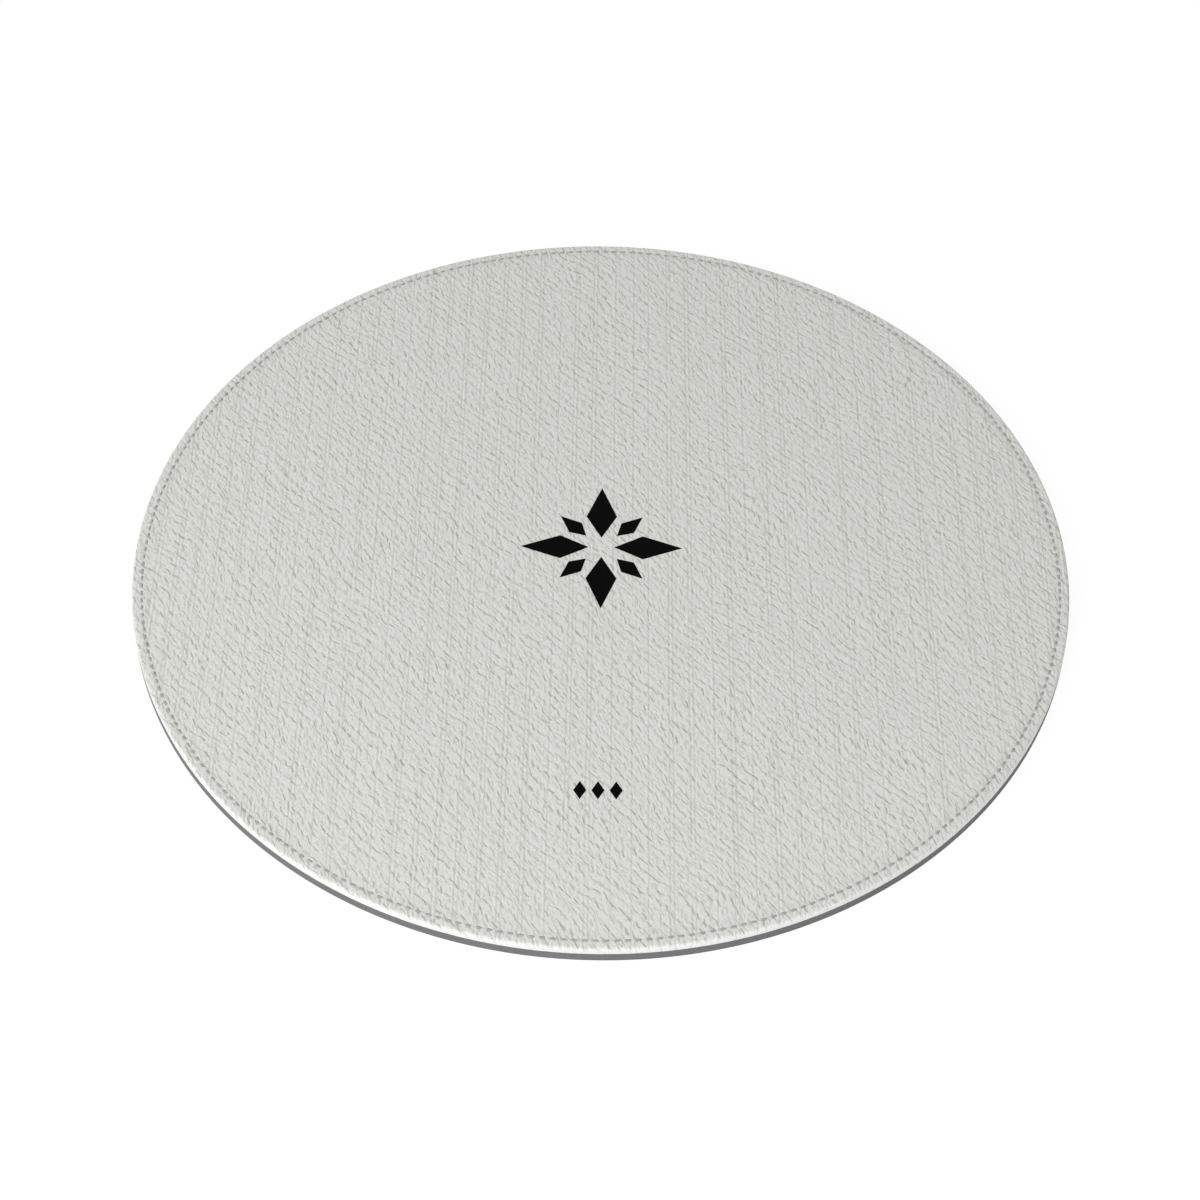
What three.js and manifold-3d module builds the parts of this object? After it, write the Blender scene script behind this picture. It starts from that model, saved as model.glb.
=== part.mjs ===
// A round mouse pad: a leather cover whose edge is folded under all round, a thin core
// sheet that fills the space inside the hem, and a rubber base that is stitched to it.
// Two small ornaments of lozenges are pressed into the top and printed.
// Millimetres, +Z up. The origin is the middle of the underside, and -Y is the front.
import * as THREE from 'three';
import { mergeVertices } from 'three/addons/utils/BufferGeometryUtils.js';
import Module from 'manifold-3d';

const wasm = await Module();
wasm.setup();

// Pad and its layers, from the bottom up
const padRadius = 115;
const baseThickness = 2.4;
const filmThickness = 0.1; // each layer of adhesive
const hemThickness = 0.6; // the leather is pared down where it is folded under
const leatherThickness = 1.1;

// Turned edge of the leather
const edgeRound = 0.7; // radius of the top corner
const foldRound = 0.15; // radius of the lower corner, where the leather folds under
const hemWidth = 9; // from the pad's edge to the cut edge of the hem
const foldGap = 0.3; // slack between the cover's adhesive and the fold round it
const coreGap = 0.3; // slack between the core sheet and the cut edge of the hem
const filmSetback = 0.4; // the base's adhesive stops this far short of the fold

// Seam
const seamInset = 2.4; // from the pad's edge to the middle of the seam
const stitchPitch = 2.375;
const threadDiameter = 0.5;
const threadSink = 0.03; // how far the stitches lie below the face that they are sewn into
const stitchDip = 0.2; // how far the thread dives between two stitches
const threadClearance = 0.05; // between the thread and the floor of its groove
const grooveClearance = 0.2; // between the thread and each wall of its groove

// Printed ornaments
const printThickness = 0.1; // the films lie flush with the leather
const printMargin = 0.1; // each film's pocket is wider than the film by this on each side
const starRadius = 20; // eight-pointed star in the middle of the top
const starHubRadius = 3.2;
const starLongWidth = 7.6;
const starShortLength = 9;
const starShortHubRadius = 5.4;
const starShortWidth = 4.4;
const starCentreY = 4;
const markLength = 5.2; // row of small lozenges near the front
const markWidth = 3;
const markPitch = 4.2;
const markCount = 3;
const markInset = 43.8; // from the pad's front edge to the middle of the row

const overrun = 1; // how far a cutting shape passes beyond the face that it cuts

// How finely the curves are cut
const discFacets = 80;
const edgeSteps = 3;
const foldSteps = 2;
const threadSides = 3;
const ringPlaceShares = [0, 0.3, 0.7]; // rings of points along one stitch
const ringLiftShares = [0, 1, 1]; // how far each ring rises out of the dip
const starWaistShare = 0.42; // where a star's lozenge is widest, from its inner tip
const markWaistShare = 0.5;
const starPoints = 8; // long and short ones by turns

// Heights of the layers
const baseTop = baseThickness;
const hemBottom = baseTop + filmThickness;
const hemTop = hemBottom + hemThickness; // the core sheet ends level with the hem
const leatherUnderside = hemTop + filmThickness;
const padTop = leatherUnderside + leatherThickness;

// Radii of the layers
const foldInnerRadius = padRadius - leatherThickness;
const coverFilmRadius = foldInnerRadius - foldGap;
const hemInnerRadius = padRadius - hemWidth;
const coreRadius = hemInnerRadius - coreGap;
const baseFilmRadius = padRadius - foldRound - filmSetback;

// The seam's circle, its thread and the groove that the thread lies in
const seamRadius = padRadius - seamInset;
const stitchCount = Math.round((2 * Math.PI * seamRadius) / stitchPitch);
const threadRadius = threadDiameter / 2;
const threadFlat = threadRadius * Math.cos(Math.PI / threadSides); // middle of the thread to its flat side
const grooveDepth = threadSink + threadFlat + stitchDip + threadRadius + threadClearance;
const grooveHalfWidth = threadRadius + grooveClearance;
const facetSag = seamRadius * (1 - Math.cos(Math.PI / discFacets)); // a chord cuts inside its circle by this
const grooveInnerRadius = seamRadius - grooveHalfWidth;
const grooveOuterRadius = seamRadius + grooveHalfWidth + facetSag;

const leather = new THREE.MeshStandardMaterial({ color: 0xd2d3cc, roughness: 0.62, metalness: 0 });
const adhesive = new THREE.MeshStandardMaterial({ color: 0xd8d2bd, roughness: 0.35, metalness: 0 });
const board = new THREE.MeshStandardMaterial({ color: 0x8f7f68, roughness: 0.9, metalness: 0 });
const rubber = new THREE.MeshStandardMaterial({ color: 0x6c6e70, roughness: 0.9, metalness: 0 });
const thread = new THREE.MeshStandardMaterial({ color: 0x8c8d94, roughness: 0.55, metalness: 0 });
const print = new THREE.MeshStandardMaterial({ color: 0x141414, roughness: 0.5, metalness: 0 });

const group = new THREE.Group();

// Adds one named piece with a finish of its own.
function addPiece(name, geometry, material) {
  const piece = new THREE.Mesh(geometry, material.clone());
  piece.name = name;
  group.add(piece);
  return piece;
}

// Points of an arc in a profile, angles in quarter turns from the outward direction.
function arcPoints(centreRadius, centreHeight, radius, firstQuarter, lastQuarter, steps) {
  const points = [];
  for (let step = 0; step <= steps; step += 1) {
    const quarter = firstQuarter + ((lastQuarter - firstQuarter) * step) / steps;
    const angle = (quarter * Math.PI) / 2;
    points.push([centreRadius + radius * Math.cos(angle), centreHeight + radius * Math.sin(angle)]);
  }
  return points;
}

// Turns a profile of [radius, height] pairs about the pad's axis. The profile runs with
// the material on its left, so it goes outwards below and upwards on the outside.
function turned(profile) {
  const points = profile.map(([radius, height]) => new THREE.Vector2(radius, height));
  const geometry = new THREE.LatheGeometry(points, discFacets);
  geometry.rotateX(Math.PI / 2);
  return geometry;
}

// A closed mesh with shared vertices as a solid that can be cut.
function asSolid(geometry) {
  const bare = geometry.clone();
  bare.deleteAttribute('normal');
  bare.deleteAttribute('uv');
  const merged = mergeVertices(bare);
  const corners = merged.index.array;
  const kept = [];
  for (let first = 0; first < corners.length; first += 3) {
    const [a, b, c] = [corners[first], corners[first + 1], corners[first + 2]];
    if (a !== b && b !== c && c !== a) kept.push(a, b, c);
  }
  const vertProperties = Float32Array.from(merged.attributes.position.array);
  const mesh = new wasm.Mesh({ numProp: 3, vertProperties, triVerts: Uint32Array.from(kept) });
  return new wasm.Manifold(mesh);
}

function cutBy(geometry, cutters) {
  const solid = cutters.reduce((left, cutter) => left.subtract(asSolid(cutter)), asSolid(geometry));
  const { vertProperties, triVerts } = solid.getMesh();
  const cut = new THREE.BufferGeometry();
  cut.setAttribute('position', new THREE.Float32BufferAttribute(vertProperties, 3));
  cut.setIndex(Array.from(triVerts));
  cut.computeVertexNormals();
  return cut;
}

function flatDisc(radius, bottom, top) {
  return turned([[0, bottom], [radius, bottom], [radius, top], [0, top]]);
}

function leatherCover() {
  const fold = arcPoints(padRadius - foldRound, hemBottom + foldRound, foldRound, -1, 0, foldSteps);
  const edge = arcPoints(padRadius - edgeRound, padTop - edgeRound, edgeRound, 0, 1, edgeSteps);
  const cover = turned([
    [0, leatherUnderside],
    [foldInnerRadius, leatherUnderside],
    [foldInnerRadius, hemTop],
    [hemInnerRadius, hemTop],
    [hemInnerRadius, hemBottom],
    ...fold,
    ...edge,
    [grooveOuterRadius, padTop],
    [grooveOuterRadius, padTop - grooveDepth],
    [grooveInnerRadius, padTop - grooveDepth],
    [grooveInnerRadius, padTop],
    [0, padTop],
  ]);
  const pockets = printedLozenges().map((lozenge) => {
    const grown = 1 + (2 * printMargin) / lozenge.width;
    return placedLozenge(lozenge, grown, printThickness + overrun);
  });
  return cutBy(cover, pockets);
}

function rubberBase() {
  return turned([
    [0, 0],
    [grooveInnerRadius, 0],
    [grooveInnerRadius, grooveDepth],
    [grooveOuterRadius, grooveDepth],
    [grooveOuterRadius, 0],
    [padRadius, 0],
    [padRadius, baseTop],
    [0, baseTop],
  ]);
}

// One unbroken ring of thread that rises to its face at every stitch and dips between
// stitches. outward is 1 where the face looks up and -1 where it looks down.
function seamThread(faceHeight, outward) {
  const crest = faceHeight - outward * (threadSink + threadFlat);
  const positions = [];
  for (let stitch = 0; stitch < stitchCount; stitch += 1) {
    ringPlaceShares.forEach((place, ring) => {
      const along = (2 * Math.PI * (stitch + place)) / stitchCount;
      const height = crest - outward * stitchDip * (1 - ringLiftShares[ring]);
      for (let side = 0; side < threadSides; side += 1) {
        const around = (2 * Math.PI * side) / threadSides - (outward * Math.PI) / 2;
        const radius = seamRadius + threadRadius * Math.cos(around);
        const lift = threadRadius * Math.sin(around);
        positions.push(radius * Math.cos(along), radius * Math.sin(along), height + lift);
      }
    });
  }
  const ringCount = stitchCount * ringPlaceShares.length;
  const indices = [];
  for (let ring = 0; ring < ringCount; ring += 1) {
    const here = ring * threadSides;
    const next = ((ring + 1) % ringCount) * threadSides;
    for (let side = 0; side < threadSides; side += 1) {
      const turn = (side + 1) % threadSides;
      indices.push(here + side, next + side, here + turn);
      indices.push(next + side, next + turn, here + turn);
    }
  }
  const geometry = new THREE.BufferGeometry();
  geometry.setAttribute('position', new THREE.Float32BufferAttribute(positions, 3));
  geometry.setIndex(indices);
  geometry.computeVertexNormals();
  return geometry;
}

// The star's lozenges, long ones along the axes and short ones between them, and then the
// front row's. Each lozenge is placed by the middle of its waist.
function printedLozenges() {
  const lozenges = [];
  for (let point = 0; point < starPoints; point += 1) {
    const isLong = point % 2 === 0;
    const length = isLong ? starRadius - starHubRadius : starShortLength;
    const waistRadius = (isLong ? starHubRadius : starShortHubRadius) + length * starWaistShare;
    const angle = (2 * Math.PI * point) / starPoints;
    lozenges.push({
      name: `star_${isLong ? 'long' : 'short'}_point_${Math.floor(point / 2) + 1}`,
      length,
      width: isLong ? starLongWidth : starShortWidth,
      waistShare: starWaistShare,
      x: waistRadius * Math.sin(angle),
      y: starCentreY + waistRadius * Math.cos(angle),
      angle,
    });
  }
  for (let mark = 0; mark < markCount; mark += 1) {
    lozenges.push({
      name: `front_mark_${mark + 1}`,
      length: markLength,
      width: markWidth,
      waistShare: markWaistShare,
      x: (mark - (markCount - 1) / 2) * markPitch,
      y: markInset - padRadius,
      angle: 0,
    });
  }
  return lozenges;
}

// A lozenge prism whose floor is the floor of the print's pocket.
function placedLozenge({ length, width, waistShare, x, y, angle }, grown, depth) {
  const outline = new THREE.Shape();
  outline.moveTo(0, -length * waistShare * grown);
  outline.lineTo((width / 2) * grown, 0);
  outline.lineTo(0, length * (1 - waistShare) * grown);
  outline.lineTo((-width / 2) * grown, 0);
  outline.closePath();
  const prism = new THREE.ExtrudeGeometry(outline, { depth, bevelEnabled: false });
  prism.rotateZ(-angle);
  prism.translate(x, y, padTop - printThickness);
  return prism;
}

addPiece('rubber_base', rubberBase(), rubber);
addPiece('base_adhesive', flatDisc(baseFilmRadius, baseTop, hemBottom), adhesive);
addPiece('core_sheet', flatDisc(coreRadius, hemBottom, hemTop), board);
addPiece('cover_adhesive', flatDisc(coverFilmRadius, hemTop, leatherUnderside), adhesive);
addPiece('leather_cover', leatherCover(), leather);
addPiece('needle_thread', seamThread(padTop, 1), thread);
addPiece('bobbin_thread', seamThread(0, -1), thread);
printedLozenges().forEach((lozenge) => {
  addPiece(lozenge.name, placedLozenge(lozenge, 1, printThickness), print);
});

export default group;
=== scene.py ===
# Looks of a round leather mouse pad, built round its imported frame. Metres, +Z up, -Y is the front.
import math
from typing import NamedTuple

import bpy
import numpy as np
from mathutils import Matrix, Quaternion, Vector


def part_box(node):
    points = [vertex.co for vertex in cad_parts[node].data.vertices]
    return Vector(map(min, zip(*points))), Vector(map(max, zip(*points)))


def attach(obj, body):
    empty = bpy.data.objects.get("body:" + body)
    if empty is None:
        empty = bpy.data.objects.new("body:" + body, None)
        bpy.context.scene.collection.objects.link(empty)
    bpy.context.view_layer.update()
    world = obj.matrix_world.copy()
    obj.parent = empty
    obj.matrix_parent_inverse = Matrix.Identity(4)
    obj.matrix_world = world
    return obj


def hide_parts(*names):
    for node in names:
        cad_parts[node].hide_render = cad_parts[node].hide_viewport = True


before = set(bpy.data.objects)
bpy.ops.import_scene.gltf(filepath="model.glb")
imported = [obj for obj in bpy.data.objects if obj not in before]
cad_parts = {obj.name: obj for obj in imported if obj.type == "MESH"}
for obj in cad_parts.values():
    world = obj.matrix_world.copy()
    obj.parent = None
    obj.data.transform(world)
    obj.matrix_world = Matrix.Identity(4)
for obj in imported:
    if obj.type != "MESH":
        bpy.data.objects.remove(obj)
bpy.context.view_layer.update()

MM = 0.001
FULL_TURN = 2 * math.pi
QUARTER_TURN = math.pi / 2
SAME_HEIGHT = 0.01 * MM  # places whose heights differ by less lie on one face
PLACE_DIGITS = 7  # decimals of a metre that the places of the frame's corners are rounded to

# Sizes that the frame holds
PAD_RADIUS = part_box("leather_cover")[1].x
PAD_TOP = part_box("leather_cover")[1].z
HEM_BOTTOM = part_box("leather_cover")[0].z
HEM_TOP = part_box("core_sheet")[1].z
LEATHER_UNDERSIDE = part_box("cover_adhesive")[1].z
LEATHER_THICKNESS = PAD_TOP - LEATHER_UNDERSIDE
BASE_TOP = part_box("rubber_base")[1].z
BASE_GLUE_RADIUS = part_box("base_adhesive")[1].x

# Edges. The rounding of the leather's top edge and the width of its hem are those of the frame.
EDGE_ROUND = 0.7 * MM
HEM_WIDTH = 9 * MM
FOLD_ROUND = 0.1 * MM
LIP_DROP = 0.08 * MM  # the fold bulges this far below the hem, outside the adhesive
LIP_RELIEF = 0.6  # share of the creases' depth on the fold
BASE_CORNER = 0.04 * MM  # the rubber's cut edge is hardly broken
CORNER_BEND = 0.3 * BASE_CORNER  # from the rubber's faces to the middle of the broken edge

# Seam. Places along a stitch are shares of half its length, from its middle.
STITCH_COUNT = 298
SEAM_INSET = 2.4 * MM
SEAM_RADIUS = PAD_RADIUS - SEAM_INSET
THREAD_HALF_WIDTH = 0.25 * MM
THREAD_HALF_HEIGHT = 0.16 * MM  # the thread is pressed flat
NEEDLE_PROUD = 0.11 * MM  # how far the stitches' crests stand over the leather
BOBBIN_PROUD = -0.03 * MM  # those in the underside lie below its face
THREAD_DIVE = 0.5 * MM  # from a crest to the thread's deepest place, between two stitches
DIVE_SHARES = (0.34, 0.8)  # between which the thread goes down
HOLE_SHARES = (0.42, 0.68)  # between which the groove closes
SWAY_SHARES = (0.7, 1.0)  # between which the thread comes back to the seam's circle
SWAY = 0.04 * MM  # how far a stitch may lie beside the seam's circle
SWAY_SEED = 7
THREAD_STEPS = 14  # along each stitch
THREAD_SIDES = 9
THREAD_PLIES = 3
PLY_DEPTH_SHARE = 0.18  # of the thread's half width, between its plies
TURNS_PER_STITCH = 1.5
GROOVE_DEPTH = 0.17 * MM
GROOVE_WIDTH = 0.34 * MM
PUCKER_DEPTH = 0.01 * MM
PUCKER_WIDTH = 0.8 * MM
PUCKER_LEAST_SHARE = 0.4  # of the pucker's depth, between the stitches

# Fineness of the turned bodies
BAND_COLUMNS = STITCH_COUNT * 10
BASE_COLUMNS = STITCH_COUNT * 5
HIDDEN_COLUMNS = STITCH_COUNT
FACE_STEP = 0.5 * MM
UNDERSIDE_STEP = 4 * MM  # it is flat inside the seam
COLUMNS_PER_RING = 6  # that each ring of a face has more than the ring inside it
EDGE_STEPS = 10
FOLD_STEPS = 5
SIDE_ROWS = 8
BASE_ROWS = 10
SEAM_RINGS = [0, 0.12 * MM, 0.24 * MM, 0.36 * MM, 0.5 * MM, 0.66 * MM, 0.85 * MM, 1.1 * MM]
BAND_RINGS = [2.0 * MM, 1.7 * MM, 1.4 * MM]  # inside the seam, where the face's mesh grows fine


class Creases(NamedTuple):
    """Rows of creases, in millimetres on the leather's own face. Each stretch of a row holds one."""

    turn: float  # of the rows, from +X
    pitch: float  # from row to row
    length: float  # of a stretch
    width: float  # from a crease's middle to where its mark ends
    spread: float  # range of the creases' places across their row
    wave: float  # range of a crease's bends across its row
    wave_length: float
    lean: float  # how far a crease goes across its row for each millimetre along it
    lean_spread: float  # range of that
    least: float  # strength of the faintest crease, where the strongest has 1
    open_share: float  # of half a stretch, along which a crease keeps its strength
    joined: float  # share of its strength that a crease has left where its stretch ends
    amount: float  # how deep the mark of the strongest crease is
    seed: int


# The rows run from the back left to the front right.
CHAINS = Creases(
    turn=math.radians(-46), pitch=2.35, length=2.3, width=0.27, spread=0.8, wave=0.7, wave_length=3.3,
    lean=-0.24, lean_spread=0.5, least=0.3, open_share=0.5, joined=0.3, amount=1.1, seed=3,
)
FAINT_CHAINS = CHAINS._replace(pitch=1.9, length=1.9, width=0.24, amount=0.52, seed=31)
STROKES = CHAINS._replace(
    turn=math.radians(-51), pitch=2.2, length=2.1, width=0.28, spread=1.7, wave=0.0, lean=-0.25,
    lean_spread=0.7, least=0.2, open_share=0.25, joined=0.0, amount=0.54, seed=59,
)
SHORT_STROKES = STROKES._replace(
    turn=math.radians(-57), pitch=1.35, length=1.6, width=0.24, spread=1.0, lean_spread=0.9, amount=0.45,
    seed=83,
)
CREASE_ROWS = (CHAINS, FAINT_CHAINS, STROKES, SHORT_STROKES)
ROW_SHIFT = 0.43  # share of a stretch by which each row's stretches start before the last row's
ROW_DRIFT = 0.7  # and up to this share more, drawn for each row
ROW_STEP = 7.31  # keeps the noise of neighbouring rows and groups of ribs apart
BENDS = ((28.0, 4.0), (9.0, 1.2), (1.4, 0.38))  # sizes of the bends in the rows, and their ranges
NOISE_MIDDLE = (0.5, 0.5, 0.5)

# Fine upright ribs all over the leather, in groups. Places across a group are counted in ribs.
RIB_PITCH = 0.968
RIB_WIDTH_SHARE = 0.38  # of the pitch, from the middle of a rib's dark line to where it ends
RIB_STRENGTH = 0.28
RIB_LEAST_SHARE = 0.15  # of that strength, outside the pairs
RIBS_IN_GROUP = 5  # of which a pair is strong
PAIR_SHIFT = 1.0  # range of the places of the pair's middle
PAIR_REACH = 0.85  # ribs this near to it are strong: two, or one where it lies close to a rib
RIB_STRETCH = 40.0  # millimetres over which a pair grows strong or faint
RIB_CHANGE = (0.1, 0.4)  # of the noise, from faint to strong
LIGHT_REACH = (0.45, 1.3)  # from the pair's middle, between which the light round it fades
RIB_LIGHT = 0.12  # what that light adds to the tone

# What the creases leave in the leather
CREASE_SINK = 0.022 * MM
SINK_WIDTH = 0.95  # millimetres from a crease's middle to where the face is level again
MARK_LEAST = 0.68  # depth of the marks' colour on the darkest pores
MARK_VARIES = 0.84  # and what it gains on the lightest
MARK_ON_SIDE = 0.3  # share of the marks' depth that is left on the leather's side
CREASE_BUMP = 0.015
CREASE_ROUGH = 0.1

# Ground between the creases: the size of each grain in millimetres, and its share of the tone
PORE_SIZE = 0.42
PORE_TONE = 0.95
PORE_BUMP = 0.008
PORE_ROUGH = 0.12
GRIT_SIZE = 0.25
GRIT_PLACE = (9.0, 5.0, 0.0)  # shifts the grit's pattern from the pores'
GRIT_TONE = 0.45
FLAKE_SIZE = (0.6, 1.1, 1.0)
FLAKE_TONE = 0.5
MIDDLE_TONE = -0.47  # brings the mean tone to about a half
LEATHER_ROUGH = 0.55  # where nothing is added to it

# Painted shade: the leather close inside the seam, and in the seam's channel between the stitches, is
# painted darker. Places are millimetres from its circle.
SEAM_SHADE = 0.07
SEAM_SHADE_PLACES = (-2.8, -1.1, -0.4, 0.3)  # where it starts, is full, begins to end and ends
CHANNEL_SHADE = 0.22  # of the channel between the stitches
CHANNEL_PLACES = (-0.5, 0.0, 0.0, 0.45)

# Rubber, in millimetres. The tread of small pips is on the underside alone.
SPECK_SIZE = 0.4
SPECK_DETAIL = 2.0
SPECK_TONE = 0.8
SPECK_BUMP = 0.05
SPECK_ROUGH = 0.15
CLOUD_SIZE = 14.0
CLOUD_DETAIL = 3.0
CLOUD_TONE = 0.9
RUBBER_MIDDLE = -0.35  # brings the mean tone to a half
RUBBER_ROUGH = 0.75  # where nothing is added to it
TREAD_PITCH = 2.2  # from a pip to the next but one, across or up
TREAD_RISE = (0.15, 0.5)  # of the pattern, from the ground to a pip's top
TREAD_TONE = 0.35
TREAD_BUMP = 0.06
TREAD_REACH = 0.05  # above the underside, where the tread ends

# Thread
FIBRE_SIZE = 0.2
FIBRE_DETAIL = 2.0
FIBRE_ROUGH = 0.2
THREAD_ROUGH = 0.45
THREAD_SHEEN = 0.2

# Prints
PRINT_PRESS = 0.07 * MM
PRINT_EASE = (-0.35 * MM, 0.15 * MM)  # from outside its outline to inside it, where the leather dips
PRINT_STEP = 0.35 * MM
PRINT_THICKNESS = 0.05 * MM
INK_ROUGH = 0.5
INK_PORE_ROUGH = 0.2
INK_SPECULAR = 0.03

# Pieces inside the pad
BLOTCH_SIZE = 3.0
BLOTCH_DETAIL = 3.0
BLOTCH_ROUGH = 0.2
GLUE_ROUGH = 0.25
BOARD_ROUGH = 0.75

# Colours, as red, green, blue and opacity. A pair is the two ends that a pattern goes between.
WHITE = (1.0, 1.0, 1.0, 1.0)
GROUND_COLOURS = ((0.6, 0.607, 0.567, 1.0), (0.745, 0.749, 0.733, 1.0))
# The leather's turned-down side is painted paler than its face: a painted highlight along the lit edge.
SIDE_HIGHLIGHT_COLOUR = (0.815, 0.815, 0.795, 1.0)
MARK_COLOUR = (0.335, 0.337, 0.277, 1.0)
RUBBER_COLOURS = ((0.118, 0.121, 0.124, 1.0), (0.17, 0.173, 0.178, 1.0))
THREAD_COLOURS = ((0.28, 0.284, 0.288, 1.0), (0.39, 0.394, 0.398, 1.0))
INK_COLOURS = ((0.0008, 0.0008, 0.0008, 1.0), (0.002, 0.002, 0.002, 1.0))
GLUE_COLOURS = ((0.6, 0.56, 0.43, 1.0), (0.72, 0.68, 0.54, 1.0))
BOARD_COLOURS = ((0.22, 0.17, 0.11, 1.0), (0.31, 0.25, 0.17, 1.0))
FLOOR_COLOUR = (0.6, 0.6, 0.6, 1.0)

# A Mix node has sockets of the same names for each kind of value. These are the ones for colours.
MIX_FIRST = 6
MIX_SECOND = 7
MIX_RESULT = 2

# Light. A share of 1 is the light that shows a colour as written.
KEY_AZIMUTH = math.radians(-123)
KEY_HEIGHT = math.radians(33)
KEY_DISTANCE = 0.85
KEY_WIDTH = 3.2
KEY_DEPTH = 0.6
KEY_SHARE = 1.9
SKY_SHARE = 0.6
FLOOR_HALF = 4.0
FLOOR_DROP = 0.01 * MM
FLOOR_GLOW = 1.065
FLOOR_GLOW_SHARE = 0.88  # of what the camera sees of the floor; the rest takes the pad's shadow

# Camera
CAMERA_PLACE = (-0.00016, -0.46161, 0.52145)
CAMERA_DOWN = math.radians(49.080)
CAMERA_ROLL = math.radians(0.824)
CAMERA_LENS = 84.318  # millimetres, as the sensor is
CAMERA_SENSOR = 36.0
CAMERA_NEAR = 10 * MM

stitch_sway = np.random.default_rng(SWAY_SEED).uniform(-SWAY, SWAY, STITCH_COUNT)


class Term:
    """A node's result, which formulas can be written with."""

    def __init__(self, tree, socket):
        self.tree = tree
        self.socket = socket

    def __add__(self, other):
        return calc(self.tree, "ADD", self, other)

    def __sub__(self, other):
        return calc(self.tree, "SUBTRACT", self, other)

    def __rsub__(self, other):
        return calc(self.tree, "SUBTRACT", other, self)

    def __mul__(self, other):
        return calc(self.tree, "MULTIPLY", self, other)

    def __truediv__(self, other):
        return calc(self.tree, "DIVIDE", self, other)

    __radd__ = __add__
    __rmul__ = __mul__


def add_node(tree, kind, inputs=None, **settings):
    """Adds a node, with its settings, and feeds its inputs with numbers or terms."""
    node = tree.nodes.new(kind)
    for name, value in settings.items():
        setattr(node, name, value)
    for name, value in (inputs or {}).items():
        feed(tree, node.inputs[name], value)
    return node


def feed(tree, socket, value):
    if isinstance(value, Term):
        tree.links.new(value.socket, socket)
    else:
        socket.default_value = value


def calc(tree, operation, *values):
    node = add_node(tree, "ShaderNodeMath", dict(enumerate(values)), operation=operation)
    return Term(tree, node.outputs[0])


def vector_calc(tree, operation, *values):
    node = add_node(tree, "ShaderNodeVectorMath", dict(enumerate(values)), operation=operation)
    return Term(tree, node.outputs[0])


def vector_scaled(tree, vector, share):
    node = add_node(tree, "ShaderNodeVectorMath", {"Vector": vector, "Scale": share}, operation="SCALE")
    return Term(tree, node.outputs[0])


def vector_length(tree, vector):
    node = add_node(tree, "ShaderNodeVectorMath", {0: vector}, operation="LENGTH")
    return Term(tree, node.outputs["Value"])


def smooth(tree, value, low, high, at_low=0.0, at_high=1.0):
    """Eases from at_low to at_high while value goes from low to high."""
    inputs = {"Value": value, "From Min": low, "From Max": high, "To Min": at_low, "To Max": at_high}
    node = add_node(tree, "ShaderNodeMapRange", inputs, interpolation_type="SMOOTHSTEP")
    return Term(tree, node.outputs[0])


def point(tree, x, y):
    node = add_node(tree, "ShaderNodeCombineXYZ", {0: x, 1: y})
    return Term(tree, node.outputs[0])


def parts_of(tree, vector):
    node = add_node(tree, "ShaderNodeSeparateXYZ", {0: vector})
    return [Term(tree, socket) for socket in node.outputs]


def noise(tree, place, size=1.0, output="Fac"):
    """Smooth noise from 0 to 1 whose blotches are about size across."""
    inputs = {"Vector": place, "Scale": 1 / size, "Detail": 0.0}
    node = add_node(tree, "ShaderNodeTexNoise", inputs, noise_dimensions="2D")
    return Term(tree, node.outputs[output])


def solid_noise(tree, place, size, detail):
    """Noise through a piece, with detail counting the finer layers in it."""
    node = add_node(tree, "ShaderNodeTexNoise", {"Vector": place, "Scale": 1 / size, "Detail": detail})
    return Term(tree, node.outputs[0])


def chances(tree, x, y=0.0):
    """Three numbers from 0 to 1 that are drawn anew for each x and y."""
    inputs = {"Vector": point(tree, x, y)}
    node = add_node(tree, "ShaderNodeTexWhiteNoise", inputs, noise_dimensions="2D")
    return parts_of(tree, Term(tree, node.outputs["Color"]))


def turned(tree, place, angle):
    inputs = {"Vector": place, "Angle": angle}
    node = add_node(tree, "ShaderNodeVectorRotate", inputs, rotation_type="Z_AXIS")
    return Term(tree, node.outputs[0])


def mix_colour(tree, share, first, second):
    inputs = {"Factor": share, MIX_FIRST: first, MIX_SECOND: second}
    node = add_node(tree, "ShaderNodeMix", inputs, data_type="RGBA")
    return Term(tree, node.outputs[MIX_RESULT])


def attribute(tree, name, output="Vector"):
    node = add_node(tree, "ShaderNodeAttribute", attribute_name=name)
    return Term(tree, node.outputs[output])


def object_place(tree):
    """The place on the piece in millimetres."""
    texture = add_node(tree, "ShaderNodeTexCoord")
    return vector_scaled(tree, Term(tree, texture.outputs["Object"]), 1 / MM)


def bent(tree, place):
    """The place that the rows of creases are laid out from, so that they wander a little."""
    for size, reach in BENDS:
        drift = vector_calc(tree, "SUBTRACT", noise(tree, place, size, "Color"), NOISE_MIDDLE)
        place = vector_calc(tree, "MULTIPLY_ADD", drift, (reach, reach, 0.0), place)
    return place


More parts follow.
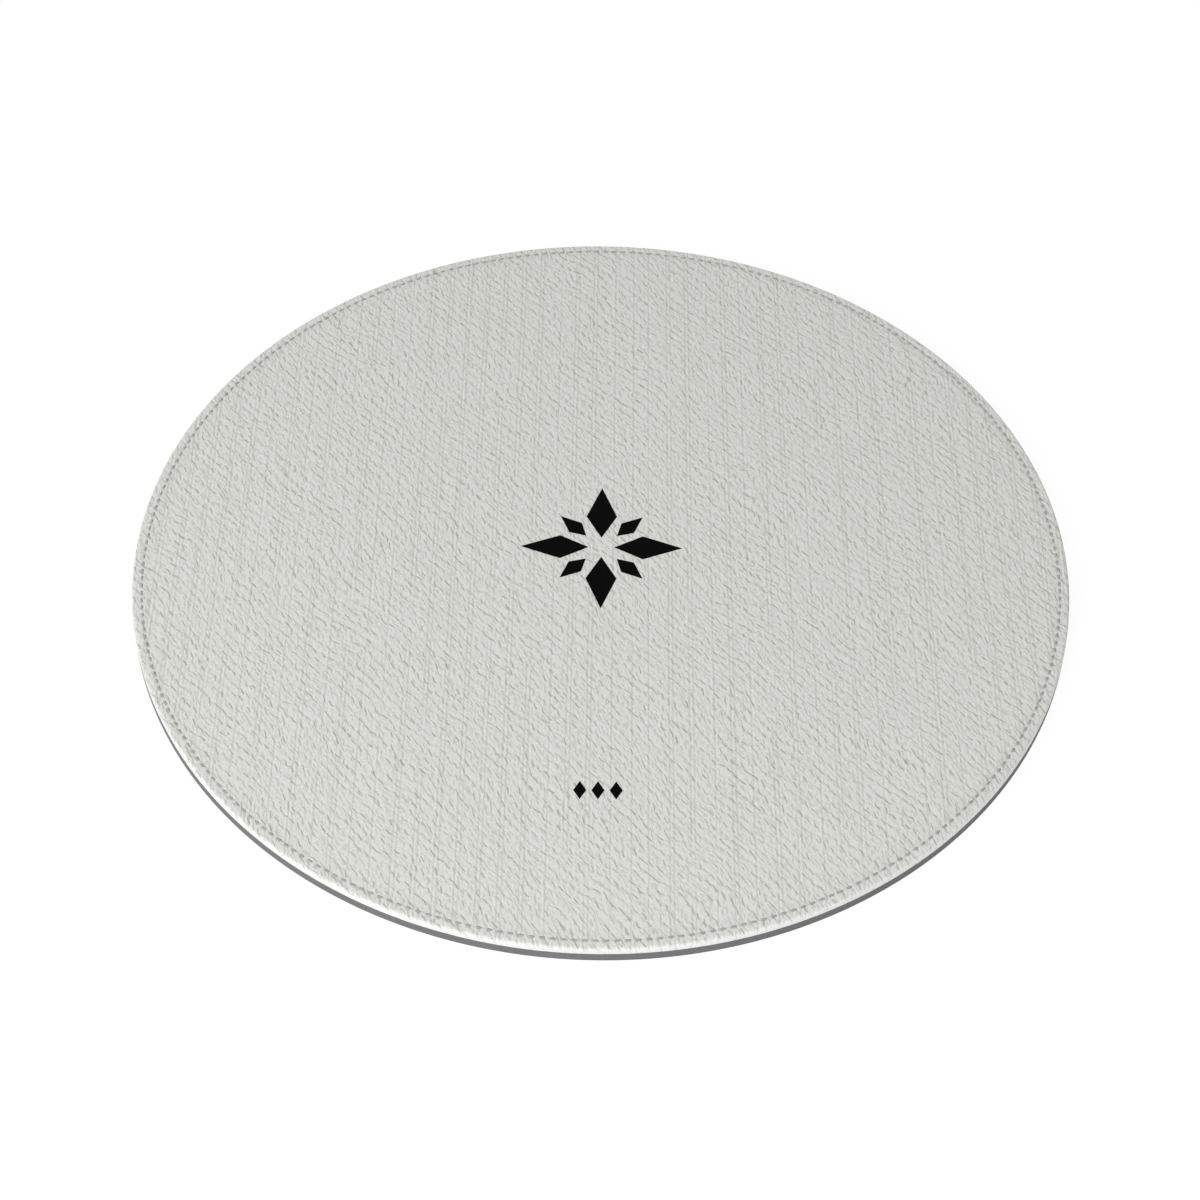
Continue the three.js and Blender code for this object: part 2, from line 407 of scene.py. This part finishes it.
def creases(tree, place, rows):
    """How far a place lies from the crease of its stretch, and how strong that is there."""
    along, across, _ = parts_of(tree, turned(tree, place, -rows.turn))
    line = calc(tree, "FLOOR", across / rows.pitch)
    beside = across - (line + 0.5) * rows.pitch
    count = along / rows.length + line * ROW_SHIFT + chances(tree, line + rows.seed)[0] * ROW_DRIFT
    stretch = calc(tree, "FLOOR", count)
    ahead = (count - stretch - 0.5) * rows.length
    place_chance, lean_chance, strength_chance = chances(tree, line + rows.seed, stretch)
    wave = noise(tree, point(tree, along / rows.wave_length, line * ROW_STEP)) - 0.5
    lean = (lean_chance - 0.5) * rows.lean_spread + rows.lean
    middle = wave * rows.wave + ahead * lean + (place_chance - 0.5) * rows.spread
    distance = calc(tree, "ABSOLUTE", beside - middle)
    to_end = calc(tree, "ABSOLUTE", ahead) / (rows.length / 2)
    left = smooth(tree, to_end, rows.open_share, 1.0, 1.0, rows.joined)
    return distance, left * (strength_chance * (1 - rows.least) + rows.least)


def ribs(tree, place):
    """How dark the ribs are at a place, and how light the leather is beside the strong ones. A pair
    in each group is strong for a stretch."""
    x, y, _ = parts_of(tree, place)
    count = x / RIB_PITCH
    line = calc(tree, "FLOOR", count + 0.5)
    beside = calc(tree, "ABSOLUTE", count - line)
    group = calc(tree, "FLOOR", count / RIBS_IN_GROUP)
    pair = (group + 0.5) * RIBS_IN_GROUP + (chances(tree, group)[0] - 0.5) * PAIR_SHIFT
    strong = smooth(tree, noise(tree, point(tree, group * ROW_STEP, y / RIB_STRETCH)), *RIB_CHANGE)
    near = calc(tree, "LESS_THAN", calc(tree, "ABSOLUTE", line - pair), PAIR_REACH) * strong
    dark = smooth(tree, beside, 0.0, RIB_WIDTH_SHARE, 1.0, 0.0)
    light = smooth(tree, calc(tree, "ABSOLUTE", count - pair), *LIGHT_REACH, 1.0, 0.0)
    return dark * (near * (1 - RIB_LEAST_SHARE) + RIB_LEAST_SHARE), (1 - dark) * light * strong


def grain(tree, place):
    """The leather at a place in millimetres: how deep all its marks are, how strong the main crease
    is, and how light it is beside strong ribs."""
    flow = bent(tree, place)
    dark, light = ribs(tree, place)
    clear = 1 - dark * RIB_STRENGTH
    marks = []
    for rows in CREASE_ROWS:
        distance, strength = creases(tree, flow, rows)
        marks.append(smooth(tree, distance, 0.0, rows.width, 1.0, 0.0) * strength)
        clear = clear * (1 - marks[-1] * rows.amount)
    return 1 - clear, marks[0], light


def new_material(name):
    """A material with one Principled shader, its tree and the shader."""
    material = bpy.data.materials.new(name)
    material.use_nodes = True
    tree = material.node_tree
    return material, tree, tree.nodes["Principled BSDF"]


def bump(tree, shader, height_mm):
    """Bends the shading by a height in millimetres."""
    node = add_node(tree, "ShaderNodeBump", {"Height": height_mm, "Distance": MM})
    tree.links.new(node.outputs[0], shader.inputs["Normal"])


def grain_bump(tree, shader, pores, crease):
    bump(tree, shader, pores * PORE_BUMP - crease * CREASE_BUMP)


def dress(shader, colour, rough):
    """Links a shader's colour and roughness."""
    colour.tree.links.new(colour.socket, shader.inputs["Base Color"])
    rough.tree.links.new(rough.socket, shader.inputs["Roughness"])


def seam_shade(tree, place):
    """Painted shade: how much darker the leather is painted in the seam's channel and close inside it."""
    beside = vector_length(tree, place) - SEAM_RADIUS / MM
    shade = 0.0
    for strength, places in ((SEAM_SHADE, SEAM_SHADE_PLACES), (CHANNEL_SHADE, CHANNEL_PLACES)):
        start, full, fading, end = places
        ring = smooth(tree, beside, start, full) * smooth(tree, beside, fading, end, 1.0, 0.0)
        shade = ring * strength + shade
    return shade


def leather_material():
    material, tree, shader = new_material("leather")
    place = attribute(tree, "grain_mm")
    side = attribute(tree, "side", "Fac")
    marks, crease, light = grain(tree, place)
    pores = noise(tree, place, PORE_SIZE)
    grit = noise(tree, vector_calc(tree, "ADD", place, GRIT_PLACE), GRIT_SIZE)
    flakes = noise(tree, vector_calc(tree, "DIVIDE", place, FLAKE_SIZE))
    tone = pores * PORE_TONE + grit * GRIT_TONE + flakes * FLAKE_TONE + light * RIB_LIGHT + MIDDLE_TONE
    ground = mix_colour(tree, tone, *GROUND_COLOURS)
    # Painted highlight: where the cover turns down to its side, its colour is painted paler.
    side_highlighted = mix_colour(tree, side, ground, SIDE_HIGHLIGHT_COLOUR)
    depth = marks * (pores * MARK_VARIES + MARK_LEAST) * (1 - side * (1 - MARK_ON_SIDE))
    # The crease marks are the grain's own colour; the seam's part of this darkening is painted shade.
    shade = 1 - (1 - depth) * (1 - seam_shade(tree, place))
    marked = mix_colour(tree, shade, side_highlighted, MARK_COLOUR)
    dress(shader, marked, pores * PORE_ROUGH + crease * CREASE_ROUGH + LEATHER_ROUGH)
    grain_bump(tree, shader, pores, crease)
    return material


def tread(tree, place):
    """Pips in diagonal rows on the underside, from 0 between them to 1 on their tops."""
    x, y, z = parts_of(tree, place)
    rows = calc(tree, "SINE", (x + y) * (FULL_TURN / TREAD_PITCH))
    columns = calc(tree, "SINE", (x - y) * (FULL_TURN / TREAD_PITCH))
    return smooth(tree, rows * columns, *TREAD_RISE) * smooth(tree, z, 0.0, TREAD_REACH, 1.0, 0.0)


def rubber_material():
    material, tree, shader = new_material("rubber")
    place = object_place(tree)
    speck = solid_noise(tree, place, SPECK_SIZE, SPECK_DETAIL)
    cloud = solid_noise(tree, place, CLOUD_SIZE, CLOUD_DETAIL)
    pips = tread(tree, place)
    tone = speck * SPECK_TONE + cloud * CLOUD_TONE + pips * TREAD_TONE + RUBBER_MIDDLE
    dress(shader, mix_colour(tree, tone, *RUBBER_COLOURS), speck * SPECK_ROUGH + RUBBER_ROUGH)
    bump(tree, shader, speck * SPECK_BUMP + pips * TREAD_BUMP)
    return material


def thread_material():
    material, tree, shader = new_material("thread")
    fibre = solid_noise(tree, object_place(tree), FIBRE_SIZE, FIBRE_DETAIL)
    dress(shader, mix_colour(tree, fibre, *THREAD_COLOURS), fibre * FIBRE_ROUGH + THREAD_ROUGH)
    shader.inputs["Sheen Weight"].default_value = THREAD_SHEEN
    return material


def print_material():
    """Ink that lets the leather's grain show through."""
    material, tree, shader = new_material("print")
    place = attribute(tree, "grain_mm")
    marks, crease, _ = grain(tree, place)
    pores = noise(tree, place, PORE_SIZE)
    dress(shader, mix_colour(tree, marks, *INK_COLOURS), pores * INK_PORE_ROUGH + INK_ROUGH)
    shader.inputs["Specular IOR Level"].default_value = INK_SPECULAR
    grain_bump(tree, shader, pores, crease)
    return material


def mottled_material(name, colours, rough):
    """For the pieces inside the pad."""
    material, tree, shader = new_material(name)
    blotch = solid_noise(tree, object_place(tree), BLOTCH_SIZE, BLOTCH_DETAIL)
    dress(shader, mix_colour(tree, blotch, *colours), blotch * BLOTCH_ROUGH + rough)
    return material


def named_attribute(tree, name, kind):
    node = add_node(tree, "GeometryNodeInputNamedAttribute", {"Name": name}, data_type=kind)
    return Term(tree, node.outputs["Attribute"])


def relief_tree():
    """Geometry nodes that sink the main creases into a face, along its normal."""
    tree = bpy.data.node_groups.new("leather_relief", "GeometryNodeTree")
    tree.interface.new_socket("Geometry", in_out="INPUT", socket_type="NodeSocketGeometry")
    tree.interface.new_socket("Geometry", in_out="OUTPUT", socket_type="NodeSocketGeometry")
    start = add_node(tree, "NodeGroupInput")
    end = add_node(tree, "NodeGroupOutput")
    flow = bent(tree, named_attribute(tree, "grain_mm", "FLOAT_VECTOR"))
    distance, strength = creases(tree, flow, CHAINS)
    depth = smooth(tree, distance, 0.0, SINK_WIDTH, -CREASE_SINK, 0.0) * strength
    normal = Term(tree, add_node(tree, "GeometryNodeInputNormal").outputs["Normal"])
    offset = vector_scaled(tree, normal, depth * named_attribute(tree, "relief", "FLOAT"))
    move = add_node(tree, "GeometryNodeSetPosition", {"Offset": offset})
    tree.links.new(start.outputs[0], move.inputs["Geometry"])
    tree.links.new(move.outputs[0], end.inputs[0])
    return tree


def add_relief(piece, tree):
    modifier = piece.modifiers.new("relief", "NODES")
    modifier.node_group = tree


def mesh_piece(name, places, faces):
    mesh = bpy.data.meshes.new(name)
    mesh.from_pydata(places.tolist(), [], faces.tolist())
    mesh.update()
    piece = bpy.data.objects.new(name, mesh)
    bpy.context.scene.collection.objects.link(piece)
    return piece


def add_attribute(mesh, name, kind, field, values):
    made = mesh.attributes.new(name, kind, "POINT")
    made.data.foreach_set(field, np.asarray(values, np.float32).ravel())


def eased(value, low, high):
    """Goes smoothly from 0 to 1 while value goes from low to high."""
    share = np.clip((value - low) / (high - low), 0, 1)
    return share * share * (3 - 2 * share)


class Ring(NamedTuple):
    """A closed ring of points of a turned body."""

    radius: float
    height: float
    count: int
    arc: float = 0.0  # its distance from the middle over the face
    relief: float = 0.0  # share of the creases' depth there


def faces_between(first, count, next_first, next_count):
    """Triangles that join one ring of points to the next, which may have another count. Each step of
    a ring is joined to the nearest point of the other, and halves are rounded to fit together."""
    here = np.arange(count)
    there = np.arange(next_count)
    opposite = -(-((2 * here + 1) * next_count - count) // (2 * count)) % next_count
    facing = (((2 * there + 1) * count - next_count) // (2 * next_count) + 1) % count
    narrow = np.stack([first + here, next_first + opposite, first + (here + 1) % count], 1)
    wide = np.stack([first + facing, next_first + there, next_first + (there + 1) % next_count], 1)
    return np.concatenate([part for part, points in ((narrow, count), (wide, next_count)) if points > 1])


def turned_body(name, rings, sunk):
    """A closed body from the middle of its top to the middle of its underside, which are rings of
    one point. sunk gives what the seam adds to a ring's height at each of its angles."""
    places, grain_places, relief, faces = [], [], [], []
    first = 0
    for ring, following in zip(rings, rings[1:] + [None]):
        angle = np.arange(ring.count) * (FULL_TURN / ring.count)
        x, y = np.cos(angle), np.sin(angle)
        places.append(np.stack([ring.radius * x, ring.radius * y, ring.height + sunk(ring, angle)], 1))
        grain_places.append(np.stack([ring.arc * x, ring.arc * y, 0 * x], 1) / MM)
        relief.append(np.full(ring.count, ring.relief))
        if following:
            faces.append(faces_between(first, ring.count, first + ring.count, following.count))
        first += ring.count
    piece = mesh_piece(name, np.concatenate(places), np.concatenate(faces))
    piece.data.shade_smooth()
    add_attribute(piece.data, "grain_mm", "FLOAT_VECTOR", "vector", np.concatenate(grain_places))
    add_attribute(piece.data, "relief", "FLOAT", "value", np.concatenate(relief))
    return piece


def in_stitch(angle):
    """For each angle, its stitch's number and the distance from the stitch's middle as a share
    of half the stitch's length."""
    turn = angle / FULL_TURN * STITCH_COUNT
    stitch = np.floor(turn).astype(int) % STITCH_COUNT
    share = np.abs(turn - np.floor(turn) - 0.5) * 2
    return stitch, share


def sway_at(stitch, share):
    """How far the seam lies outside its circle."""
    return stitch_sway[stitch] * (1 - eased(share, *SWAY_SHARES))


def seam_depth(radius, angle):
    """How far the seam draws a face in."""
    stitch, share = in_stitch(angle)
    beside = radius - SEAM_RADIUS - sway_at(stitch, share)
    open_share = 1 - eased(share, *HOLE_SHARES)
    drawn = PUCKER_LEAST_SHARE + (1 - PUCKER_LEAST_SHARE) * open_share
    pucker = PUCKER_DEPTH * np.exp(-((beside / PUCKER_WIDTH) ** 2)) * drawn
    groove = GROOVE_DEPTH * np.exp(-((beside / GROOVE_WIDTH) ** 2)) * open_share
    return pucker + groove


def face_rings(height, step, relief):
    """Rings of a face from its middle out to past the seam."""
    middle_edge = SEAM_RADIUS - BAND_RINGS[0]
    count = int(middle_edge / step)
    rings = [Ring(0.0, height, 1, 0.0, relief)]
    for index in range(1, count + 1):
        radius = index * middle_edge / count
        rings.append(Ring(radius, height, COLUMNS_PER_RING * index, radius, relief))
    inside = [-offset for offset in BAND_RINGS[1:] + SEAM_RINGS[:0:-1]]
    for offset in inside + SEAM_RINGS:
        radius = SEAM_RADIUS + offset
        rings.append(Ring(radius, height, BAND_COLUMNS, radius, relief))
    return rings


def edge_rings():
    """Rings of the leather's rounded edge, its side and the fold at its foot."""
    flat_radius = PAD_RADIUS - EDGE_ROUND
    rings = []
    for step in range(EDGE_STEPS + 1):
        turn = step / EDGE_STEPS * QUARTER_TURN
        radius = flat_radius + EDGE_ROUND * math.sin(turn)
        height = PAD_TOP - EDGE_ROUND * (1 - math.cos(turn))
        rings.append(Ring(radius, height, BAND_COLUMNS, flat_radius + EDGE_ROUND * turn, 1.0))
    fold_height = HEM_BOTTOM - LIP_DROP + FOLD_ROUND
    edge_end = rings[-1]
    side = edge_end.height - fold_height
    for row in range(1, SIDE_ROWS):
        down = side * row / SIDE_ROWS
        rings.append(Ring(PAD_RADIUS, edge_end.height - down, BAND_COLUMNS, edge_end.arc + down, 1.0))
    fold_arc = edge_end.arc + side
    for step in range(FOLD_STEPS + 1):
        turn = step / FOLD_STEPS * QUARTER_TURN
        radius = PAD_RADIUS - FOLD_ROUND * (1 - math.cos(turn))
        height = fold_height - FOLD_ROUND * math.sin(turn)
        rings.append(Ring(radius, height, BAND_COLUMNS, fold_arc + FOLD_ROUND * turn, LIP_RELIEF))
    return rings


def leather_cover():
    hem_inner = PAD_RADIUS - HEM_WIDTH
    hem_outer = PAD_RADIUS - LEATHER_THICKNESS
    hidden = [
        (BASE_GLUE_RADIUS, HEM_BOTTOM), (hem_inner, HEM_BOTTOM), (hem_inner, HEM_TOP),
        (hem_outer, HEM_TOP), (hem_outer, LEATHER_UNDERSIDE),
    ]
    rings = face_rings(PAD_TOP, FACE_STEP, 1.0) + edge_rings()
    rings += [Ring(radius, height, HIDDEN_COLUMNS, radius) for radius, height in hidden]
    rings.append(Ring(0.0, LEATHER_UNDERSIDE, 1))

    def sunk(ring, angle):
        on_face = ring.height > PAD_TOP - SAME_HEIGHT
        return -seam_depth(ring.radius, angle) if on_face else 0 * angle

    piece = turned_body("cover_leather", rings, sunk)
    add_attribute(piece.data, "side", "FLOAT", "value", side_share(piece))
    return piece


def side_share(piece):
    """From 0 on the cover's face to 1 where it has turned down to its side, for each point."""
    places = np.array([vertex.co for vertex in piece.data.vertices])
    turned_down = np.hypot(places[:, 0], places[:, 1]) > PAD_RADIUS - EDGE_ROUND
    return eased(PAD_TOP - places[:, 2], 0.0, EDGE_ROUND) * turned_down


def cut_leather_radius():
    """Of the flat round sheet that the cover is turned from."""
    side = PAD_TOP - EDGE_ROUND - HEM_BOTTOM - FOLD_ROUND
    folds = (EDGE_ROUND + FOLD_ROUND) * QUARTER_TURN
    return PAD_RADIUS - EDGE_ROUND + folds + side + HEM_WIDTH - FOLD_ROUND


def rubber_base():
    rings = [
        Ring(0.0, BASE_TOP, 1),
        Ring(SEAM_RADIUS, BASE_TOP, HIDDEN_COLUMNS),
        Ring(PAD_RADIUS - BASE_CORNER, BASE_TOP, BASE_COLUMNS),
        Ring(PAD_RADIUS - CORNER_BEND, BASE_TOP - CORNER_BEND, BASE_COLUMNS),
    ]
    side = BASE_TOP - 2 * BASE_CORNER
    for row in range(BASE_ROWS + 1):
        rings.append(Ring(PAD_RADIUS, BASE_TOP - BASE_CORNER - side * row / BASE_ROWS, BASE_COLUMNS))
    rings.append(Ring(PAD_RADIUS - CORNER_BEND, CORNER_BEND, BASE_COLUMNS))
    rings.append(Ring(PAD_RADIUS - BASE_CORNER, 0.0, BASE_COLUMNS))
    rings += reversed(face_rings(0.0, UNDERSIDE_STEP, 0.0))

    def sunk(ring, angle):
        return seam_depth(ring.radius, angle) if ring.height == 0 else 0 * angle

    return turned_body("base_rubber", rings, sunk)


def seam_path(face, outward, proud):
    """Angles, radii and heights of the thread's middle along the whole seam, and its lean."""
    total = STITCH_COUNT * THREAD_STEPS
    angle = (np.arange(total) + 0.5) * (FULL_TURN / total)
    stitch, share = in_stitch(angle)
    dive = THREAD_DIVE * eased(share, *DIVE_SHARES)
    height = face + outward * (proud - THREAD_HALF_HEIGHT - dive)
    climb = np.roll(height, -1) - np.roll(height, 1)
    lean = np.arctan2(climb, 2 * FULL_TURN * SEAM_RADIUS / total)
    return angle, SEAM_RADIUS + sway_at(stitch, share), height, lean


def seam_thread(name, face, outward, proud):
    """One continuous twisted thread that lies open in each stitch and dives between them."""
    angle, radius, height, lean = seam_path(face, outward, proud)
    total = len(angle)
    twist = FULL_TURN * TURNS_PER_STITCH * STITCH_COUNT * np.arange(total) / total
    rows = []
    for side in range(THREAD_SIDES):
        around = FULL_TURN * side / THREAD_SIDES
        ply = abs(math.cos(THREAD_PLIES * around / 2))
        lobe = 1 - PLY_DEPTH_SHARE * (1 - ply)
        out = radius + THREAD_HALF_WIDTH * lobe * np.cos(around + twist)
        up = THREAD_HALF_HEIGHT * lobe * np.sin(around + twist)
        along = angle - up * np.sin(lean) / SEAM_RADIUS
        rows.append(np.stack([out * np.cos(along), out * np.sin(along), height + up * np.cos(lean)], 1))
    ring = np.arange(total)[:, None] * THREAD_SIDES
    next_ring = np.roll(ring, -1, 0)
    corner = np.arange(THREAD_SIDES)[None]
    next_corner = (corner + 1) % THREAD_SIDES
    faces = np.stack([ring + corner, next_ring + corner, next_ring + next_corner, ring + next_corner], 2)
    piece = mesh_piece(name, np.stack(rows, 1).reshape(-1, 3), faces.reshape(-1, 4))
    piece.data.shade_smooth()
    return piece


def top_corners(node):
    """The outline of a flat prism's top, in order round its middle."""
    places = {tuple(np.round(vertex.co, PLACE_DIGITS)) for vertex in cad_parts[node].data.vertices}
    top = max(place[2] for place in places)
    corners = np.array([place[:2] for place in places if place[2] > top - SAME_HEIGHT])
    out = corners - corners.mean(0)
    return corners[np.argsort(np.arctan2(out[:, 1], out[:, 0]))]


def print_film(node):
    """A printed lozenge as a thin film that follows the creases."""
    corners = top_corners(node)
    steps = int(np.ptp(corners, axis=0).max() / PRINT_STEP)
    shares = np.linspace(0, 1, steps + 1)
    ahead, beside = (grid.reshape(-1, 1) for grid in np.meshgrid(shares, shares, indexing="ij"))
    near = (1 - ahead) * corners[0] + ahead * corners[1]
    far = (1 - ahead) * corners[3] + ahead * corners[2]
    places = np.column_stack([(1 - beside) * near + beside * far, np.full(len(near), PAD_TOP)])
    cell = np.arange(steps * (steps + 1)).reshape(steps, steps + 1)[:, :-1].ravel()
    faces = np.stack([cell, cell + steps + 1, cell + steps + 2, cell + 1], 1)
    piece = mesh_piece(f"film_{node}", places, faces)
    piece.data.shade_smooth()
    add_attribute(piece.data, "grain_mm", "FLOAT_VECTOR", "vector", places / MM * [1, 1, 0])
    add_attribute(piece.data, "relief", "FLOAT", "value", np.ones(len(places)))
    return piece


def add_thickness(piece):
    modifier = piece.modifiers.new("thickness", "SOLIDIFY")
    modifier.thickness = PRINT_THICKNESS
    modifier.offset = -1


def pressed(places, corners):
    """From 0 well outside a convex outline to 1 inside it, for each place."""
    inside = np.full(len(places), np.inf)
    for start, end in zip(corners, np.roll(corners, -1, 0)):
        edge = end - start
        normal = np.array([-edge[1], edge[0]]) / np.hypot(*edge)
        inside = np.minimum(inside, (places - start) @ normal)
    return eased(inside, *PRINT_EASE)


def press_prints(piece, nodes):
    """Presses the leather down under each printed lozenge."""
    mesh = piece.data
    places = np.empty(len(mesh.vertices) * 3)
    mesh.vertices.foreach_get("co", places)
    places = places.reshape(-1, 3)
    face = places[:, 2] > PAD_TOP - SAME_HEIGHT
    down = np.zeros(face.sum())
    for node in nodes:
        down = np.maximum(down, pressed(places[face, :2], top_corners(node)))
    places[face, 2] -= PRINT_PRESS * down
    mesh.vertices.foreach_set("co", places.ravel())
    mesh.update()


def finish_piece(piece, material, slot, *nodes):
    piece.data.materials.append(material)
    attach(piece, "root")
    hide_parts(*nodes)


def add_object(name, data, place, aim):
    """Adds a camera or lamp that looks along aim."""
    holder = bpy.data.objects.new(name, data)
    holder.location = place
    holder.rotation_mode = "QUATERNION"
    holder.rotation_quaternion = aim.to_track_quat("-Z", "Y")
    bpy.context.scene.collection.objects.link(holder)
    return holder


def add_camera():
    camera = bpy.data.cameras.new("camera")
    camera.lens = CAMERA_LENS
    camera.sensor_width = CAMERA_SENSOR
    camera.clip_start = CAMERA_NEAR
    aim = Vector((0, math.cos(CAMERA_DOWN), -math.sin(CAMERA_DOWN)))
    holder = add_object("camera", camera, CAMERA_PLACE, aim)
    roll = Quaternion((0, 0, 1), CAMERA_ROLL)
    holder.rotation_quaternion = holder.rotation_quaternion @ roll
    bpy.context.scene.camera = holder


def add_key():
    """A wide lamp from the front left."""
    lamp = bpy.data.lights.new("key", "AREA")
    lamp.shape = "RECTANGLE"
    lamp.size = KEY_WIDTH
    lamp.size_y = KEY_DEPTH
    lamp.energy = KEY_SHARE * math.pi ** 2 * KEY_DISTANCE ** 2
    level = math.cos(KEY_HEIGHT)
    towards = Vector((math.cos(KEY_AZIMUTH) * level, math.sin(KEY_AZIMUTH) * level, math.sin(KEY_HEIGHT)))
    add_object("key", lamp, towards * KEY_DISTANCE, -towards)


def seen_straight(tree):
    """1 for rays from the camera, mirrors and glass, and 0 for the light that falls on things."""
    path = add_node(tree, "ShaderNodeLightPath")
    camera, glossy, through = (
        Term(tree, path.outputs[name]) for name in ("Is Camera Ray", "Is Glossy Ray", "Is Transmission Ray")
    )
    return calc(tree, "MINIMUM", camera + glossy + through, 1.0)


def add_world():
    """A dim white sky that the camera sees at full strength."""
    world = bpy.data.worlds.new("world")
    bpy.context.scene.world = world
    world.use_nodes = True
    tree = world.node_tree
    back = tree.nodes["Background"]
    back.inputs["Color"].default_value = WHITE
    strength = seen_straight(tree) * (1 - SKY_SHARE) + SKY_SHARE
    tree.links.new(strength.socket, back.inputs["Strength"])


def add_floor():
    """White paper that keeps a faint shadow of the pad."""
    corners = np.array([[-1, -1, 0], [1, -1, 0], [1, 1, 0], [-1, 1, 0]]) * FLOOR_HALF
    floor = mesh_piece("floor", corners - [0, 0, FLOOR_DROP], np.array([[0, 1, 2, 3]]))
    material = bpy.data.materials.new("floor")
    material.use_nodes = True
    tree = material.node_tree
    tree.nodes.remove(tree.nodes["Principled BSDF"])
    paper = add_node(tree, "ShaderNodeBsdfDiffuse", {"Color": FLOOR_COLOUR})
    white = add_node(tree, "ShaderNodeEmission", {"Color": WHITE, "Strength": FLOOR_GLOW})
    mixed = add_node(tree, "ShaderNodeMixShader", {0: seen_straight(tree) * FLOOR_GLOW_SHARE})
    tree.links.new(paper.outputs[0], mixed.inputs[1])
    tree.links.new(white.outputs[0], mixed.inputs[2])
    tree.links.new(mixed.outputs[0], tree.nodes["Material Output"].inputs["Surface"])
    floor.data.materials.append(material)


def add_cover(relief, printed):
    cover = leather_cover()
    press_prints(cover, printed)
    add_relief(cover, relief)
    finish_piece(cover, leather_material(), "leather", "leather_cover")
    radius = cut_leather_radius()
    2 * radius
    2 * radius
    math.pi * radius ** 2


def add_seam():
    thread = thread_material()
    needle = seam_thread("needle_stitches", PAD_TOP, 1, NEEDLE_PROUD)
    bobbin = seam_thread("bobbin_stitches", 0.0, -1, BOBBIN_PROUD)
    finish_piece(needle, thread, "thread", "needle_thread")
    finish_piece(bobbin, thread, "thread", "bobbin_thread")


def add_prints(relief, printed):
    ink = print_material()
    for node in printed:
        film = print_film(node)
        add_relief(film, relief)
        add_thickness(film)
        finish_piece(film, ink, "print", node)


def dress_inside():
    glue = mottled_material("adhesive", GLUE_COLOURS, GLUE_ROUGH)
    board = mottled_material("board", BOARD_COLOURS, BOARD_ROUGH)
    for node, material in (("base_adhesive", glue), ("cover_adhesive", glue), ("core_sheet", board)):
        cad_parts[node].data.materials.clear()
        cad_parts[node].data.materials.append(material)


add_camera()
add_key()
add_world()
add_floor()
bpy.context.scene.view_settings.view_transform = "Standard"

leather_relief = relief_tree()
printed_nodes = sorted(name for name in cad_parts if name.startswith(("star_", "front_mark_")))
add_cover(leather_relief, printed_nodes)
finish_piece(rubber_base(), rubber_material(), "rubber", "rubber_base")
add_seam()
add_prints(leather_relief, printed_nodes)
dress_inside()
